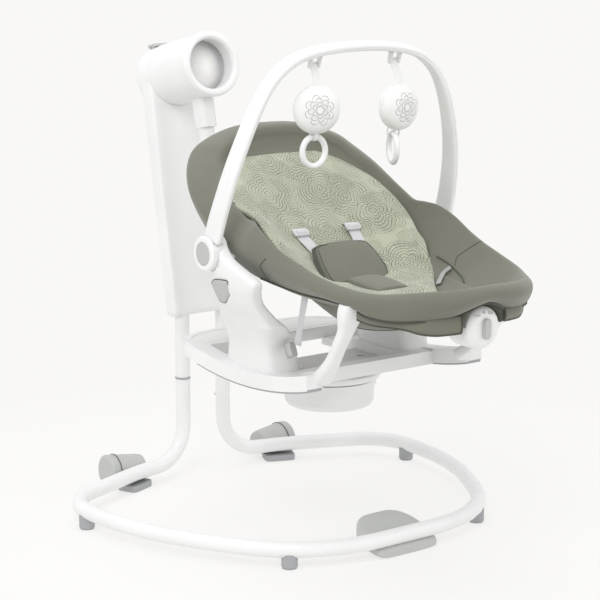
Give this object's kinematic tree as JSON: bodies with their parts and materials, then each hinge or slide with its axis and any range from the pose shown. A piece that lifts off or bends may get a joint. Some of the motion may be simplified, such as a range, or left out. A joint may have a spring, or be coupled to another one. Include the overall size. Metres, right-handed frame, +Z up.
{
  "type": "baby swing",
  "caption": "Reclined infant swing seat with padded rim, harness and toy bar on a rocker base, carried by a side-to-side arm under a leaning mast on a looped floor frame.",
  "frame": {"origin": "on the floor under the centre of the bounding box", "axes": "+Z up, -Y towards the foot end of the seat, +Y towards the mast, +X the left-hand side of a child in the seat"},
  "size_m": [0.7745, 0.9943, 0.8675],
  "materials": {
    "white_plastic": "satin",
    "white_metal": "satin powder coat",
    "grey_plastic": "fine matt",
    "grey_rubber": "matt",
    "dark_plastic": "matt",
    "steel": "bright",
    "lens": "frosted",
    "olive_fabric": "smooth knit",
    "sage_fabric": "printed knit",
    "webbing": "woven",
    "toy_fabric": "soft",
    "ring_plastic": "smooth"
  },
  "bodies": {
    "base": {"floor_tube": "white_metal", "floor_feet": "grey_rubber", "rear_feet": "grey_plastic", "front_pad": "grey_plastic", "uprights": "white_metal", "upright_collars": "grey_rubber", "mast_front": "white_plastic", "mast_rear": "white_plastic", "mast_screws": "steel", "battery_door": "white_plastic", "power_socket": "dark_plastic", "head_cap": "white_plastic", "control_panel": "grey_plastic", "shaft_bearing": "steel"},
    "swing": {"drive_shaft": "steel", "drum_shell": "white_plastic", "drum_rim": "white_plastic", "light_lens": "lens", "arm_neck": "white_plastic", "swing_arm": "white_metal", "cup": "white_plastic"},
    "turntable": {"turntable": "grey_plastic"},
    "rocker": {"deck_plate": "grey_plastic", "rocker_base": "white_plastic", "rocker_grips": "grey_rubber", "tower_left": "white_plastic", "tower_right": "white_plastic", "front_leg_left": "white_plastic", "front_leg_right": "white_plastic", "seat_frame": "white_metal", "seat_bolster": "olive_fabric", "seat_shell": "olive_fabric", "seat_pad": "sage_fabric", "crotch_pad": "olive_fabric", "strap_clips": "grey_plastic", "vibration_unit": "white_plastic"},
    "back": {"back_frame": "white_metal", "back_bolster": "olive_fabric", "back_shell": "olive_fabric", "back_pad": "olive_fabric", "back_liner": "sage_fabric", "harness_straps": "webbing"},
    "toy_bar": {"toy_bar": "white_plastic", "hub_left": "white_plastic", "hub_right": "white_plastic"},
    "toy_left": {"toy_left": "toy_fabric"},
    "toy_right": {"toy_right": "toy_fabric"},
    "ring_left": {"ring_left": "ring_plastic"},
    "ring_right": {"ring_right": "ring_plastic"},
    "tower_button_left": {"tower_button_left": "grey_plastic"},
    "tower_button_right": {"tower_button_right": "grey_plastic"},
    "hub_button_left": {"hub_button_left": "grey_plastic"},
    "hub_button_right": {"hub_button_right": "grey_plastic"},
    "snap_button_left": {"snap_button_left": "steel"},
    "snap_button_right": {"snap_button_right": "steel"},
    "vibration_dial": {"vibration_dial": "grey_plastic"},
    "panel_button_1": {"panel_button_1": "white_plastic"},
    "panel_button_2": {"panel_button_2": "white_plastic"},
    "panel_button_3": {"panel_button_3": "white_plastic"},
    "panel_button_4": {"panel_button_4": "white_plastic"}
  },
  "joints": [
    {"name": "swing", "type": "hinge", "parent": "base", "child": "swing", "pos_m": [0, 0.44523, 0.773], "axis": [0, -0.9763, 0.2164], "range_deg": [-12, 12]},
    {"name": "seat_turn", "type": "hinge", "parent": "swing", "child": "turntable", "pos_m": [0, -0.0582, 0.27], "axis": [0, 0, 1], "range_deg": [-90, 90]},
    {"name": "seat_lift", "type": "slide", "parent": "turntable", "child": "rocker", "axis": [0, 0, 1], "range_m": [0, 0.12]},
    {"name": "back_recline", "type": "hinge", "parent": "rocker", "child": "back", "pos_m": [0, -0.0582, 0.52], "axis": [1, 0, 0], "range_deg": [0, 12]},
    {"name": "toy_bar_tilt", "type": "hinge", "parent": "rocker", "child": "toy_bar", "pos_m": [0, -0.0582, 0.52], "axis": [-1, 0, 0], "range_deg": [0, 15]},
    {"name": "toy_left_swing", "type": "hinge", "parent": "toy_bar", "child": "toy_left", "pos_m": [-0.087, -0.12572, 0.8318], "axis": [1, 0, 0], "range_deg": [-25, 25]},
    {"name": "toy_right_swing", "type": "hinge", "parent": "toy_bar", "child": "toy_right", "pos_m": [0.087, -0.12572, 0.8318], "axis": [1, 0, 0], "range_deg": [-25, 25]},
    {"name": "ring_left_swing", "type": "hinge", "parent": "toy_left", "child": "ring_left", "pos_m": [-0.087, -0.12572, 0.7125], "axis": [1, 0, 0], "range_deg": [-25, 25]},
    {"name": "ring_right_swing", "type": "hinge", "parent": "toy_right", "child": "ring_right", "pos_m": [0.087, -0.12572, 0.7125], "axis": [0, 1, 0], "range_deg": [-25, 25]},
    {"name": "tower_button_left_press", "type": "slide", "parent": "rocker", "child": "tower_button_left", "axis": [0.8746, 0, 0.4848], "range_m": [0, 0.003], "stiffness_N_per_m": 400, "springref_m": -0.002},
    {"name": "tower_button_right_press", "type": "slide", "parent": "rocker", "child": "tower_button_right", "axis": [-0.8746, 0, 0.4848], "range_m": [0, 0.003], "stiffness_N_per_m": 400, "springref_m": -0.002},
    {"name": "hub_button_left_press", "type": "slide", "parent": "toy_bar", "child": "hub_button_left", "axis": [1, 0, 0], "range_m": [0, 0.003], "stiffness_N_per_m": 400, "springref_m": -0.002},
    {"name": "hub_button_right_press", "type": "slide", "parent": "toy_bar", "child": "hub_button_right", "axis": [-1, 0, 0], "range_m": [0, 0.003], "stiffness_N_per_m": 400, "springref_m": -0.002},
    {"name": "snap_button_left_press", "type": "slide", "parent": "base", "child": "snap_button_left", "axis": [-0.722, -0.6919, 0], "range_m": [0, 0.0024], "stiffness_N_per_m": 400, "springref_m": -0.002},
    {"name": "snap_button_right_press", "type": "slide", "parent": "base", "child": "snap_button_right", "axis": [0.722, -0.6919, 0], "range_m": [0, 0.0024], "stiffness_N_per_m": 400, "springref_m": -0.002},
    {"name": "vibration_turn", "type": "hinge", "parent": "rocker", "child": "vibration_dial", "pos_m": [0, -0.4672, 0.427], "axis": [0, -1, 0], "range_deg": [-25, 25]},
    {"name": "panel_button_1_press", "type": "slide", "parent": "base", "child": "panel_button_1", "axis": [0, -0.2164, -0.9763], "range_m": [0, 0.001], "stiffness_N_per_m": 400, "springref_m": -0.002},
    {"name": "panel_button_2_press", "type": "slide", "parent": "base", "child": "panel_button_2", "axis": [0, -0.2164, -0.9763], "range_m": [0, 0.001], "stiffness_N_per_m": 400, "springref_m": -0.002},
    {"name": "panel_button_3_press", "type": "slide", "parent": "base", "child": "panel_button_3", "axis": [0, -0.2164, -0.9763], "range_m": [0, 0.001], "stiffness_N_per_m": 400, "springref_m": -0.002},
    {"name": "panel_button_4_press", "type": "slide", "parent": "base", "child": "panel_button_4", "axis": [0, -0.2164, -0.9763], "range_m": [0, 0.001], "stiffness_N_per_m": 400, "springref_m": -0.002}
  ]
}
